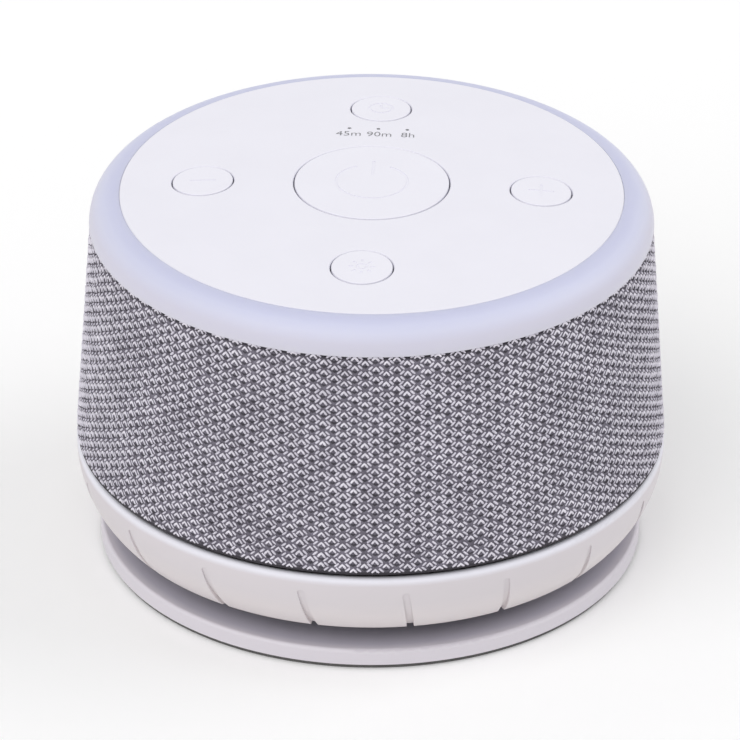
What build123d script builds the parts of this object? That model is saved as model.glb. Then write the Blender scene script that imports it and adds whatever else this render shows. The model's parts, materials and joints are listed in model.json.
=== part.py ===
from build123d import *
import os
from math import cos, degrees, pi, radians, sin, sqrt

# Fan-driven white noise sound machine. The origin is the centre of its footprint on the table, +Z is
# up, and the light button faces -Y. All sizes are in millimetres.

os.makedirs("parts", exist_ok=True)

# ---------------------------------------------------------------------------------------------------
# Driving dimensions
# ---------------------------------------------------------------------------------------------------

# Clearances
running_clearance = 0.3     # between faces that slide or turn past each other
seat_clearance = 0.2        # between a rim and the pocket that locates it
pin_clearance = 0.05        # radial, between a shaft or screw and its close hole
hole_clearance = 0.25       # radial, between a screw or lead and its free hole

# The widest radius of the body, at the tone ring, from which the other main radii follow
tone_radius = 74.7

# Foot ring and base plate
base_inset = 5.65           # from the tone ring's widest radius to the base plate's edge
foot_inset = 0.65           # from the base plate's edge to the rubber's outer face
foot_width = 8.4
foot_show = 1.35            # rubber that shows below the base plate
foot_seat = 0.8             # depth of the groove that holds the rubber
foot_edge = 0.3
base_thickness = 4.15
base_wall = 2.0
base_rim_width = 12.0
base_edge_radius = 0.9
base_rib_count = 12
base_rib_width = 1.4

# Power inlet, which looks out through the back of the intake collar
jack_width = 9.0
jack_length = 13.0
jack_drop = 0.35            # of the inlet's axis below the middle of the collar
jack_nose_radius = 3.6
jack_bore_radius = 2.85
jack_bore_depth = 9.5
jack_pin_radius = 1.05
jack_pin_recess = 1.0
jack_front_gap = 0.8        # from the inlet's body to the collar's inner face, which is curved

# Intake collar between the base and the chassis
collar_wall = 2.0
collar_height = 9.0
collar_slot_count = 24
collar_slot_share = 0.39    # of the collar's circumference that is open
collar_slot_sill = 1.6
base_screw_inset = 3.5      # from the collar's outer face to the screws
base_screw_count = 3
base_screw_start_angle = 30.0
base_screw_boss_radius = 3.8
base_screw_engagement = 9.0

# Screws
screw_radius = 1.45
screw_head_radius = 2.8
screw_head_height = 1.6
countersink_head_radius = 3.0
countersink_head_height = 1.6
countersink_recess = 0.3
cross_length = 3.2
cross_width = 0.7
cross_depth = 0.8

# How near an edge lies to the height at which it is looked for
edge_find_tolerance = 0.01

# Chassis floor, with the track and the stops of the tone ring
chassis_inset = 8.7         # from the tone ring's widest radius to the chassis edge
chassis_thickness = 2.0
chassis_opening_inset = 13.0  # from the housing's inner face to the air openings
chassis_opening_width = 14.0
chassis_opening_angle = 78.0
track_inset = 8.5           # from the chassis edge to the track's inner face
track_width = 2.0
stop_inset = 2.5            # from the chassis edge to the stop posts
stop_radius = 2.0
stop_count = 2
stop_start_angle = 45.0
stop_height = 7.0

# Tone ring, the white grip collar
tone_widest_height = 28.0
tone_bottom_inset = 6.63    # of the bottom edge from the widest radius
tone_lip_radius = 1.4
tone_bottom_height = 11.6
tone_bottom_edge_radius = 0.4
tone_web_lift = 3.5         # from the chassis floor to the web
tone_web_thickness = 2.0
tone_travel_angle = 11.0    # each way from rest
groove_count = 18
groove_start_angle = -79.0
groove_width = 1.8
groove_top_drop = 4.1       # from the lip's top to the groove's top
groove_depth_top = 0.22
groove_depth_bottom = 1.1
groove_slant = 9.2

# Fan housing and the shutter round it
housing_inset = 5.5         # from the track's inner face to the housing's outer face
housing_wall = 2.0
housing_height = 43.9
aperture_count = 8
aperture_angle = 16.0
aperture_sill = 17.5        # from the chassis floor to the apertures
aperture_head = 4.4         # from the apertures to the housing's top
housing_boss_height = 11.5
cover_boss_height = 9.4
cover_boss_inset = 3.5        # from the housing's inner face to the screws
cover_screw_end_gap = 0.6
cover_screw_count = 4
cover_screw_start_angle = 22.5
shutter_clearance = 0.4
shutter_wall = 1.6
shutter_flange_width = 3.0
shutter_flange_thickness = 1.5
cover_thickness = 2.0
cover_overhang = 1.2          # over the shutter
cover_post_inset = 4.0      # from the housing's inner face to the posts
cover_post_count = 4
cover_post_radius = 3.2
cover_post_height = 15.6
cover_post_screw_depth = 10.0

# Motor and its soft mounting
motor_radius = 17.0
motor_wall = 1.0
motor_height = 20.0
motor_end_thickness = 1.5
motor_shaft_radius = 1.5
motor_shaft_tail = 1.0
bearing_radius = 4.0
bearing_height = 2.0
armature_radius = 12.6
armature_height = 12.0
armature_lift = 4.6
armature_slots = 5
armature_slot_width = 3.0
armature_core_radius = 6.0
magnet_thickness = 2.8
magnet_angle = 130.0
commutator_radius = 4.0
commutator_height = 1.8
bracket_thickness = 1.5
bracket_disc_radius = 18.5
bracket_arm_width = 9.0
mount_count = 3
mount_start_angle = 30.0
mount_boss_radius = 4.0
mount_boss_height = 1.0
grommet_radius = 4.6
grommet_neck_radius = 3.0
grommet_flange = 1.0

# Fan wheel
impeller_tip_gap = 10.0     # from the impeller to the housing
impeller_gap = 2.0          # above the motor
impeller_disc = 1.5
impeller_headroom = 4.4     # from the impeller's top to the fan cover
impeller_hub_radius = 8.0
impeller_ring_width = 4.0
impeller_ring_thickness = 1.0
blade_count = 12
blade_thickness = 1.4
blade_inner_radius = 14.0
blade_sweep_angle = 28.0
blade_sagitta = 3.0
nut_across_flats = 6.0
nut_height = 2.4
shaft_past_nut = 0.5
shaft_chamfer = 0.2

# Top frame, grille shell and fabric sleeve
deck_thickness = 2.0
deck_rim_height = 4.0
deck_rim_width = 2.0
grille_wall = 1.8
grille_flange_thickness = 1.8
grille_flange_inset = 2.4   # from the top plate's edge to the flange's inner edge
grille_slot_count = 36
grille_slot_width = 7.0
grille_slot_sill = 6.0
grille_slot_top = 4.0
sleeve_overhang = 0.2       # of the sleeve's foot over the tone ring's widest radius
sleeve_thickness = 0.8
sleeve_clearance = 0.1
sleeve_gap = 1.3            # dark gap between the sleeve and the tone ring's lip

# Light ring and reflector
ring_round_radius = 7.65
ring_skirt_depth = 7.65
ring_skirt_thickness = 1.7
ring_skirt_clearance = 0.35
ring_ledge_thickness = 2.0
ring_ledge_overlap = 3.3    # of the ledge under the top plate's edge
ring_plate_seam = 0.05
reflector_thickness = 1.5

# Top plate
plate_inset = 11.8          # from the tone ring's widest radius to the top plate's edge
plate_stand = 0.15          # the plate's edge above the light ring's crown
plate_rise = 2.7            # the dome's height over its edge
plate_thickness = 2.0
plate_edge_thickness = 2.1
plate_edge_radius = 0.4
plate_seam_angle = 45.0
plate_lip_width = 1.8
plate_lip_depth = 1.8
plate_boss_inset = 7.4      # from the top plate's edge to its bosses
plate_boss_radius = 2.8
plate_boss_count = 4
plate_boss_start_angle = 45.0
plate_screw_depth = 10.0
board_boss_gap = 12.2       # from the small buttons' circle in to the board's bosses
board_boss_radius = 2.8
board_screw_depth = 7.0

# Buttons
button_gap = 0.35           # round each cap
cap_rise = 0.05             # of the caps over the dome
hole_edge_radius = 0.4      # round the holes for the caps
power_hole_radius = 19.6
power_flange_width = 1.75
power_travel = 0.7
small_hole_radius = 7.85
small_button_inset = 20.7   # from the top plate's edge to the small buttons' centres
small_flange_width = 1.6
small_travel = 0.6
button_flange_thickness = 1.2
button_edge_radius = 0.3
cap_blank_excess = 1.0      # the caps are cut from blanks that reach this far over the dome
button_skin = 1.6
button_stem_radius = 2.0
icon_depth = 0.14
icon_line = 0.65
power_icon_radius = 8.9
power_icon_gap = 28.0       # degrees to each side of the bar
power_icon_bar_start = 3.2
power_icon_bar_length = 7.8
small_icon_size = 6.4
clock_hand_length = 1.8
lamp_disc_radius = 1.5
lamp_ray_start = 2.1
lamp_ray_count = 8

# Indicators
indicator_hole_radius = 0.5
indicator_gap = 12.6        # from the timer button's centre in to the indicators
indicator_pitch = 7.34
indicator_count = 3
light_pipe_leg_radius = 0.9
light_pipe_bar_width = 2.2
light_pipe_bar_height = 1.4
light_pipe_gap = 0.3

# Control board
board_inset = 10.9          # from the top plate's edge to the board's edge
board_thickness = 1.6
board_overlap = 0.5         # of the board's edge over the reflector's inner wall
board_depth = 8.3           # from the plate's edge down to the board's top
switch_size = 6.0
switch_height = 3.5
switch_bottom_clearance = 0.2
plunger_radius = 1.75
plunger_bore_clearance = 0.1
plunger_height = 1.9
plunger_rise = 0.8          # above the switch body
led_count = 16
led_length = 3.2
led_width = 1.6
led_height = 1.5
led_inset = 1.5
indicator_led_size = 1.6
indicator_led_height = 0.8
chip_size = 9.0
chip_height = 1.4
chip_y = -15.0
connector_size_x = 8.0
connector_size_y = 5.0
connector_height = 5.0
connector_x = 9.0
connector_y = 18.0
capacitor_radius = 3.2
capacitor_length = 11.0
capacitor_y = -27.0

# Internal leads
lead_radius = 1.2
lead_inset = 7.0            # from the housing's inner face to the power lead
lead_angle = 12.0           # from +Y, to each side
lead_bend_radius = 4.0
lead_jack_run = 6.0         # from the inlet's back to the rise through the chassis
lead_rise = 7.0
lead_low_height = 32.0
lead_high_rise = 7.6        # over the fan cover
lead_last_rise = 4.5
lead_can_gap = 0.1

# ---------------------------------------------------------------------------------------------------
# Heights and radii that follow
# ---------------------------------------------------------------------------------------------------

base_radius = tone_radius - base_inset
foot_outer_radius = base_radius - foot_inset
chassis_radius = tone_radius - chassis_inset
track_radius = chassis_radius - track_inset
stop_circle = chassis_radius - stop_inset
housing_outer_radius = track_radius - housing_inset
housing_inner_radius = housing_outer_radius - housing_wall
collar_outer_radius = housing_inner_radius
chassis_opening_outer = housing_inner_radius - chassis_opening_inset
chassis_opening_inner = chassis_opening_outer - chassis_opening_width
mount_circle = (chassis_opening_inner + chassis_opening_outer) / 2
base_screw_circle = collar_outer_radius - base_screw_inset
cover_post_circle = housing_inner_radius - cover_post_inset
lead_circle = housing_inner_radius - lead_inset
impeller_radius = housing_inner_radius - impeller_tip_gap
plate_radius = tone_radius - plate_inset
grille_flange_inner = plate_radius - grille_flange_inset
sleeve_top_radius = plate_radius + ring_round_radius
sleeve_flare = tone_radius + sleeve_overhang - sleeve_top_radius
ring_ledge_inner = plate_radius - ring_ledge_overlap
plate_boss_circle = plate_radius - plate_boss_inset
small_button_circle = plate_radius - small_button_inset
board_boss_circle = small_button_circle - board_boss_gap
indicator_y = small_button_circle - indicator_gap
board_radius = plate_radius - board_inset

base_bottom = foot_show
base_top = base_bottom + base_thickness
base_ceiling = base_top - base_wall
chassis_bottom = base_top + collar_height
chassis_top = chassis_bottom + chassis_thickness
housing_top = chassis_top + housing_height
cover_top = housing_top + cover_thickness
deck_bottom = cover_top + cover_post_height
deck_top = deck_bottom + deck_thickness
flange_top = deck_top + grille_flange_thickness
ring_bottom = flange_top + ring_skirt_depth
ring_crown = ring_bottom + ring_round_radius
plate_edge_height = ring_crown + plate_stand
plate_top_height = plate_edge_height + plate_rise
ledge_top = plate_edge_height - plate_edge_thickness
ledge_bottom = ledge_top - ring_ledge_thickness

tone_top_height = tone_widest_height + tone_lip_radius
tone_arc_height = tone_widest_height - tone_bottom_height
tone_arc_radius = (tone_arc_height**2 + tone_bottom_inset**2) / (2 * tone_bottom_inset)
tone_arc_centre = tone_radius - tone_arc_radius
tone_wall = 2 * tone_lip_radius
web_bottom = chassis_top + tone_web_lift
web_top = web_bottom + tone_web_thickness
shutter_inner_radius = housing_outer_radius + shutter_clearance
shutter_outer_radius = shutter_inner_radius + shutter_wall
aperture_bottom = chassis_top + aperture_sill
aperture_height = housing_height - aperture_sill - aperture_head

sleeve_bottom = tone_top_height + sleeve_gap
sleeve_top = ring_bottom - seat_clearance

board_top = plate_edge_height - board_depth
board_bottom = board_top - board_thickness
switch_top = board_top + switch_height
plunger_top = switch_top + plunger_rise

bracket_bottom = chassis_top + mount_boss_height + grommet_flange
motor_bottom = bracket_bottom + bracket_thickness
motor_top = motor_bottom + motor_height
impeller_bottom = motor_top + impeller_gap
impeller_top = housing_top - impeller_headroom
impeller_height = impeller_top - impeller_bottom
nut_top = impeller_top + nut_height

# The four small buttons: their side of the plate as an angle from +X
small_buttons = {"plus": 0, "timer": 90, "minus": 180, "light": 270}

dome_sphere_radius = (plate_radius**2 + plate_rise**2) / (2 * plate_rise)
dome_centre_height = plate_top_height - dome_sphere_radius


def dome_height(radius, depth=0.0):
    """Height of the domed top, or of the face that lies depth below it, at a radius."""
    return dome_centre_height + sqrt((dome_sphere_radius - depth) ** 2 - radius**2)


def sleeve_radius(height, inset=0.0):
    """Radius of the sleeve's tapered outside at a height, less an inset."""
    share = (ring_bottom - height) / (ring_bottom - sleeve_bottom)
    return sleeve_top_radius + sleeve_flare * share - inset


def tone_outer(height, inset=0.0):
    """Radius of the tone ring's outer arc at a height, less an inset along the arc's radius."""
    return tone_arc_centre + sqrt((tone_arc_radius - inset) ** 2 - (tone_widest_height - height) ** 2)


def turned(*points):
    """Closed straight-sided face in the radius-height plane, to revolve about the upright axis."""
    with BuildSketch(Plane.XZ) as section:
        with BuildLine():
            Polyline(*points, close=True)
        make_face()
    return section.sketch


def tube_section(inner, outer, bottom, top):
    """Rectangular face in the radius-height plane, to revolve into a tube or a disc."""
    return turned((inner, bottom), (outer, bottom), (outer, top), (inner, top))


def dome_section(radius, depth):
    """Face in the radius-height plane that fills everything below the dome, out to a radius."""
    with BuildSketch(Plane.XZ) as section:
        with BuildLine():
            ThreePointArc(
                (0, dome_height(0, depth)),
                (radius / 2, dome_height(radius / 2, depth)),
                (radius, dome_height(radius, depth)),
            )
            Polyline((radius, dome_height(radius, depth)), (radius, 0), (0, 0), (0, dome_height(0, depth)))
        make_face()
    return section.sketch


def arc_band(inner, outer, middle_angle, span, bottom, height):
    """Upright prism over a sector of a ring."""
    half = span / 2
    with BuildPart() as band:
        with BuildSketch(Plane.XY.offset(bottom)):
            with BuildLine():
                CenterArc((0, 0), inner, middle_angle - half, span)
                CenterArc((0, 0), outer, middle_angle - half, span)
                for end in (middle_angle - half, middle_angle + half):
                    Line(
                        (inner * cos(radians(end)), inner * sin(radians(end))),
                        (outer * cos(radians(end)), outer * sin(radians(end))),
                    )
            make_face()
        extrude(amount=height)
    return band.part


def rim_at(builder, height):
    """The level edges of a part at a height."""
    return builder.edges().filter_by_position(
        Axis.Z, height - edge_find_tolerance, height + edge_find_tolerance
    )


def screw(seat, tip):
    """A pan-head screw on the upright axis: its head lies on the seat, on the side away from its tip."""
    head_end = seat + screw_head_height if seat > tip else seat - screw_head_height
    cross_bottom = head_end - cross_depth if seat > tip else head_end
    with BuildPart() as one:
        revolve(tube_section(0, screw_head_radius, seat, head_end), axis=Axis.Z)
        revolve(tube_section(0, screw_radius, tip, seat), axis=Axis.Z)
        with BuildSketch(Plane.XY.offset(cross_bottom)):
            Rectangle(cross_length, cross_width)
            Rectangle(cross_width, cross_length)
        extrude(amount=cross_depth, mode=Mode.SUBTRACT)
    return one.part


def finish(part, name):
    """Names a finished piece and writes it as its own file."""
    part.label = name
    export_step(part, f"parts/{name}.step")


# ---------------------------------------------------------------------------------------------------
# Base: rubber foot ring, base plate, inlet, intake collar
# ---------------------------------------------------------------------------------------------------

free_hole_radius = screw_radius + hole_clearance
pilot_radius = screw_radius + pin_clearance
foot_inner_radius = foot_outer_radius - foot_width
foot_top = foot_show + foot_seat

with BuildPart() as foot_ring:
    revolve(tube_section(foot_inner_radius, foot_outer_radius, 0, foot_top), axis=Axis.Z)
    chamfer(foot_ring.edges().filter_by(GeomType.CIRCLE).group_by(Axis.Z)[0], foot_edge)
finish(foot_ring.part, "foot_ring")

rib_reach = base_radius - base_rim_width
base_screw_seat = base_bottom + countersink_recess
base_screw_neck = base_screw_seat + countersink_head_height
base_screw_top = chassis_top + base_screw_engagement

with BuildPart() as base_screw_hole:
    revolve(
        turned(
            (0, base_bottom),
            (countersink_head_radius + hole_clearance, base_bottom),
            (countersink_head_radius + hole_clearance, base_screw_seat),
            (free_hole_radius, base_screw_neck),
            (free_hole_radius, base_top),
            (0, base_top),
        ),
        axis=Axis.Z,
    )

with BuildPart() as base_plate:
    revolve(tube_section(0, base_radius, base_bottom, base_top), axis=Axis.Z)
    fillet(base_plate.edges().filter_by(GeomType.CIRCLE).group_by(Axis.Z)[-1], base_edge_radius)
    # Underside: hollow inside a wide rim, with the groove for the rubber in the rim
    revolve(tube_section(0, rib_reach, base_bottom, base_ceiling), axis=Axis.Z, mode=Mode.SUBTRACT)
    revolve(
        tube_section(foot_inner_radius, foot_outer_radius, base_bottom, foot_top),
        axis=Axis.Z,
        mode=Mode.SUBTRACT,
    )
    # Stiffening ribs and screw bosses
    with BuildSketch(Plane.XY.offset(base_bottom)):
        with PolarLocations(rib_reach / 2, base_rib_count, start_angle=180 / base_rib_count):
            Rectangle(rib_reach + base_rib_width, base_rib_width)
        with PolarLocations(base_screw_circle, base_screw_count, start_angle=base_screw_start_angle):
            Circle(countersink_head_radius + base_wall)
    extrude(amount=base_ceiling - base_bottom)
    with PolarLocations(base_screw_circle, base_screw_count, start_angle=base_screw_start_angle):
        add(base_screw_hole.part, mode=Mode.SUBTRACT)
finish(base_plate.part, "base_plate")

with BuildPart() as base_screw:
    revolve(
        turned(
            (0, base_screw_seat),
            (countersink_head_radius, base_screw_seat),
            (screw_radius, base_screw_neck),
            (screw_radius, base_screw_top),
            (0, base_screw_top),
        ),
        axis=Axis.Z,
    )
    with BuildSketch(Plane.XY.offset(base_screw_seat)):
        Rectangle(cross_length, cross_width)
        Rectangle(cross_width, cross_length)
    extrude(amount=cross_depth, mode=Mode.SUBTRACT)

with BuildPart() as base_screws:
    with PolarLocations(base_screw_circle, base_screw_count, start_angle=base_screw_start_angle):
        add(base_screw.part)
finish(base_screws.part, "base_screws")

collar_inner_radius = collar_outer_radius - collar_wall
collar_slot_height = collar_height - 2 * collar_slot_sill
collar_middle_radius = collar_outer_radius - collar_wall / 2
collar_slot_width = collar_slot_share * 2 * pi * collar_middle_radius / collar_slot_count
jack_axis_height = (base_top + chassis_bottom) / 2 - jack_drop
jack_back = collar_inner_radius - jack_front_gap - jack_length
jack_mouth_plane = Plane((0, collar_outer_radius, jack_axis_height), x_dir=(1, 0, 0), z_dir=(0, -1, 0))

with BuildPart() as dc_jack:
    with BuildSketch(Plane.XY.offset(base_top)):
        with Locations((0, jack_back + jack_length / 2)):
            Rectangle(jack_width, jack_length)
    extrude(amount=collar_height)
    with BuildSketch(jack_mouth_plane):
        Circle(jack_nose_radius)
    extrude(amount=collar_outer_radius - jack_back)
    with BuildSketch(jack_mouth_plane):
        Circle(jack_bore_radius)
    extrude(amount=jack_bore_depth, mode=Mode.SUBTRACT)
finish(dc_jack.part, "dc_jack")

with BuildPart() as dc_jack_pin:
    with BuildSketch(jack_mouth_plane.offset(jack_pin_recess)):
        Circle(jack_pin_radius)
    extrude(amount=jack_bore_depth - jack_pin_recess)
finish(dc_jack_pin.part, "dc_jack_pin")

with BuildPart() as intake_collar:
    revolve(
        tube_section(collar_inner_radius, collar_outer_radius, base_top, chassis_bottom), axis=Axis.Z
    )
    with BuildSketch(Plane.XY.offset(base_top + collar_slot_sill)):
        with PolarLocations(collar_middle_radius, collar_slot_count, start_angle=180 / collar_slot_count):
            Rectangle(2 * collar_wall, collar_slot_width)
    extrude(amount=collar_slot_height, mode=Mode.SUBTRACT)
    with BuildSketch(Plane.XY.offset(base_top)):
        with PolarLocations(base_screw_circle, base_screw_count, start_angle=base_screw_start_angle):
            Circle(base_screw_boss_radius)
        Circle(collar_outer_radius, mode=Mode.INTERSECT)
        with PolarLocations(base_screw_circle, base_screw_count, start_angle=base_screw_start_angle):
            Circle(free_hole_radius, mode=Mode.SUBTRACT)
    extrude(amount=collar_height)
    with BuildSketch(jack_mouth_plane):
        Circle(jack_nose_radius + pin_clearance)
    extrude(amount=2 * collar_wall, mode=Mode.SUBTRACT)
finish(intake_collar.part, "intake_collar")

# ---------------------------------------------------------------------------------------------------
# Chassis floor
# ---------------------------------------------------------------------------------------------------

stop_slot_end = degrees(running_clearance / stop_circle)

with BuildPart() as lower_chassis:
    revolve(tube_section(0, chassis_radius, chassis_bottom, chassis_top), axis=Axis.Z)
    # Track under the tone ring's web
    revolve(
        tube_section(track_radius, track_radius + track_width, chassis_top, web_bottom - running_clearance),
        axis=Axis.Z,
    )
    # Bosses under the motor's soft mounts, and the posts that stop the tone ring
    with BuildSketch(Plane.XY.offset(chassis_top)):
        with PolarLocations(mount_circle, mount_count, start_angle=mount_start_angle):
            Circle(mount_boss_radius)
    extrude(amount=mount_boss_height)
    with BuildSketch(Plane.XY.offset(chassis_top)):
        with PolarLocations(stop_circle, stop_count, start_angle=stop_start_angle):
            Circle(stop_radius)
    extrude(amount=stop_height)
    # Air openings between the motor mounts
    for number in range(mount_count):
        middle = mount_start_angle + (number + 0.5) * 360 / mount_count
        add(
            arc_band(
                chassis_opening_inner,
                chassis_opening_outer,
                middle,
                chassis_opening_angle,
                chassis_bottom,
                chassis_thickness,
            ),
            mode=Mode.SUBTRACT,
        )
    # Screw holes
    with BuildSketch(Plane.XY.offset(chassis_bottom)):
        with PolarLocations(base_screw_circle, base_screw_count, start_angle=base_screw_start_angle):
            Circle(free_hole_radius)
        with PolarLocations(mount_circle, mount_count, start_angle=mount_start_angle):
            Circle(pilot_radius)
    extrude(amount=chassis_thickness + mount_boss_height, mode=Mode.SUBTRACT)
finish(lower_chassis.part, "lower_chassis")

# ---------------------------------------------------------------------------------------------------
# Motor on its soft mounts
# ---------------------------------------------------------------------------------------------------

grommet_bottom = chassis_top + mount_boss_height
grommet_top = motor_bottom + grommet_flange

with BuildPart() as grommet:
    revolve(
        turned(
            (free_hole_radius, grommet_bottom),
            (grommet_radius, grommet_bottom),
            (grommet_radius, bracket_bottom),
            (grommet_neck_radius, bracket_bottom),
            (grommet_neck_radius, motor_bottom),
            (grommet_radius, motor_bottom),
            (grommet_radius, grommet_top),
            (free_hole_radius, grommet_top),
        ),
        axis=Axis.Z,
    )

with BuildPart() as isolation_grommets:
    with PolarLocations(mount_circle, mount_count, start_angle=mount_start_angle):
        add(grommet.part)
finish(isolation_grommets.part, "isolation_grommets")

mount_screw = screw(grommet_top, chassis_bottom)

with BuildPart() as bracket_screws:
    with PolarLocations(mount_circle, mount_count, start_angle=mount_start_angle):
        add(mount_screw)
finish(bracket_screws.part, "bracket_screws")

with BuildPart() as motor_bracket:
    with BuildSketch(Plane.XY.offset(bracket_bottom)):
        Circle(bracket_disc_radius)
        with PolarLocations(mount_circle / 2, mount_count, start_angle=mount_start_angle):
            Rectangle(mount_circle, bracket_arm_width)
        with PolarLocations(mount_circle, mount_count, start_angle=mount_start_angle):
            Circle(bracket_arm_width / 2)
        Circle(bearing_radius + running_clearance, mode=Mode.SUBTRACT)
        with PolarLocations(mount_circle, mount_count, start_angle=mount_start_angle):
            Circle(grommet_neck_radius + pin_clearance, mode=Mode.SUBTRACT)
    extrude(amount=bracket_thickness)
finish(motor_bracket.part, "motor_bracket")

can_inner_radius = motor_radius - motor_wall
can_roof = motor_top - motor_end_thickness

with BuildPart() as motor_can:
    revolve(tube_section(can_inner_radius, motor_radius, motor_bottom, motor_top), axis=Axis.Z)
    revolve(tube_section(bearing_radius + pin_clearance, motor_radius, can_roof, motor_top), axis=Axis.Z)
finish(motor_can.part, "motor_can")

with BuildPart() as motor_end_bell:
    revolve(
        tube_section(
            bearing_radius + pin_clearance,
            can_inner_radius - pin_clearance,
            motor_bottom,
            motor_bottom + motor_end_thickness,
        ),
        axis=Axis.Z,
    )
finish(motor_end_bell.part, "motor_end_bell")

with BuildPart() as motor_bearings:
    for bottom in (motor_bottom, can_roof):
        revolve(
            tube_section(motor_shaft_radius + pin_clearance, bearing_radius, bottom, bottom + bearing_height),
            axis=Axis.Z,
        )
finish(motor_bearings.part, "motor_bearings")

armature_bottom = motor_bottom + armature_lift
magnet_outer_radius = can_inner_radius - pin_clearance

with BuildPart() as motor_magnets:
    for side in (0, 180):
        add(
            arc_band(
                magnet_outer_radius - magnet_thickness,
                magnet_outer_radius,
                side,
                magnet_angle,
                armature_bottom,
                armature_height,
            )
        )
finish(motor_magnets.part, "motor_magnets")

bored_radius = motor_shaft_radius + pin_clearance

with BuildPart() as motor_armature:
    revolve(
        tube_section(bored_radius, armature_radius, armature_bottom, armature_bottom + armature_height),
        axis=Axis.Z,
    )
    with BuildSketch(Plane.XY.offset(armature_bottom)):
        with PolarLocations((armature_core_radius + armature_radius + 1) / 2, armature_slots):
            Rectangle(armature_radius + 1 - armature_core_radius, armature_slot_width)
    extrude(amount=armature_height, mode=Mode.SUBTRACT)
finish(motor_armature.part, "motor_armature")

commutator_top = armature_bottom - running_clearance

with BuildPart() as motor_commutator:
    revolve(
        tube_section(bored_radius, commutator_radius, commutator_top - commutator_height, commutator_top),
        axis=Axis.Z,
    )
finish(motor_commutator.part, "motor_commutator")

shaft_bottom = motor_bottom - motor_shaft_tail
shaft_top = nut_top + shaft_past_nut

with BuildPart() as motor_shaft:
    revolve(tube_section(0, motor_shaft_radius, shaft_bottom, shaft_top), axis=Axis.Z)
    chamfer(motor_shaft.edges().filter_by(GeomType.CIRCLE), shaft_chamfer)
finish(motor_shaft.part, "motor_shaft")

# ---------------------------------------------------------------------------------------------------
# Fan wheel
# ---------------------------------------------------------------------------------------------------

disc_top = impeller_bottom + impeller_disc
blade_top = impeller_top - impeller_ring_thickness
blade_outer_radius = impeller_radius - impeller_ring_width / 2
blade_end_angle = radians(blade_sweep_angle)

# One backward-swept blade between the wheel's disc and its ring
with BuildPart() as blade:
    with BuildSketch(Plane.XY.offset(impeller_bottom)):
        with BuildLine():
            SagittaArc(
                (blade_inner_radius, 0),
                (blade_outer_radius * cos(blade_end_angle), blade_outer_radius * sin(blade_end_angle)),
                blade_sagitta,
            )
        trace(line_width=blade_thickness)
    extrude(amount=impeller_height - impeller_ring_thickness / 2)

with BuildPart() as impeller:
    revolve(tube_section(bored_radius, impeller_radius, impeller_bottom, disc_top), axis=Axis.Z)
    revolve(tube_section(bored_radius, impeller_hub_radius, impeller_bottom, impeller_top), axis=Axis.Z)
    revolve(
        tube_section(impeller_radius - impeller_ring_width, impeller_radius, blade_top, impeller_top),
        axis=Axis.Z,
    )
    with PolarLocations(0, blade_count):
        add(blade.part)
finish(impeller.part, "impeller")

with BuildPart() as fan_nut:
    with BuildSketch(Plane.XY.offset(impeller_top)):
        RegularPolygon(nut_across_flats / 2, 6, major_radius=False)
        Circle(bored_radius, mode=Mode.SUBTRACT)
    extrude(amount=nut_height)
finish(fan_nut.part, "fan_nut")

# ---------------------------------------------------------------------------------------------------
# Fan housing with its cover, and the shutter that opens and closes its apertures
# ---------------------------------------------------------------------------------------------------

cover_screw_circle = housing_inner_radius - cover_boss_inset
cover_boss_bottom = housing_top - cover_boss_height

with BuildPart() as fan_housing:
    revolve(
        tube_section(housing_inner_radius, housing_outer_radius, chassis_top, housing_top), axis=Axis.Z
    )
    with BuildSketch(Plane.XY.offset(chassis_top)):
        with PolarLocations(base_screw_circle, base_screw_count, start_angle=base_screw_start_angle):
            Circle(base_screw_boss_radius)
        Circle(housing_outer_radius, mode=Mode.INTERSECT)
        with PolarLocations(base_screw_circle, base_screw_count, start_angle=base_screw_start_angle):
            Circle(pilot_radius, mode=Mode.SUBTRACT)
    extrude(amount=housing_boss_height)
    with BuildSketch(Plane.XY.offset(cover_boss_bottom)):
        with PolarLocations(cover_screw_circle, cover_screw_count, start_angle=cover_screw_start_angle):
            Circle(base_screw_boss_radius)
        Circle(housing_outer_radius, mode=Mode.INTERSECT)
        with PolarLocations(cover_screw_circle, cover_screw_count, start_angle=cover_screw_start_angle):
            Circle(pilot_radius, mode=Mode.SUBTRACT)
    extrude(amount=cover_boss_height)
    for number in range(aperture_count):
        add(
            arc_band(
                housing_inner_radius - housing_wall / 2,
                housing_outer_radius + housing_wall / 2,
                number * 360 / aperture_count,
                aperture_angle,
                aperture_bottom,
                aperture_height,
            ),
            mode=Mode.SUBTRACT,
        )
finish(fan_housing.part, "fan_housing")

cover_radius = shutter_inner_radius + cover_overhang
lead_x = lead_circle * sin(radians(lead_angle))
lead_y = lead_circle * cos(radians(lead_angle))

with BuildPart() as fan_cover:
    revolve(tube_section(0, cover_radius, housing_top, cover_top), axis=Axis.Z)
    with BuildSketch(Plane.XY.offset(cover_top)):
        with PolarLocations(cover_post_circle, cover_post_count, start_angle=45):
            Circle(cover_post_radius)
    extrude(amount=cover_post_height)
    with BuildSketch(Plane.XY.offset(deck_bottom - cover_post_screw_depth)):
        with PolarLocations(cover_post_circle, cover_post_count, start_angle=45):
            Circle(pilot_radius)
    extrude(amount=cover_post_screw_depth, mode=Mode.SUBTRACT)
    with BuildSketch(Plane.XY.offset(housing_top)):
        with PolarLocations(cover_screw_circle, cover_screw_count, start_angle=cover_screw_start_angle):
            Circle(free_hole_radius)
        with Locations((-lead_x, lead_y), (lead_x, lead_y)):
            Circle(lead_radius + hole_clearance)
    extrude(amount=cover_thickness, mode=Mode.SUBTRACT)
finish(fan_cover.part, "fan_cover")

cover_screw = screw(cover_top, cover_boss_bottom + cover_screw_end_gap)

with BuildPart() as cover_screws:
    with PolarLocations(cover_screw_circle, cover_screw_count, start_angle=cover_screw_start_angle):
        add(cover_screw)
finish(cover_screws.part, "cover_screws")

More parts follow.
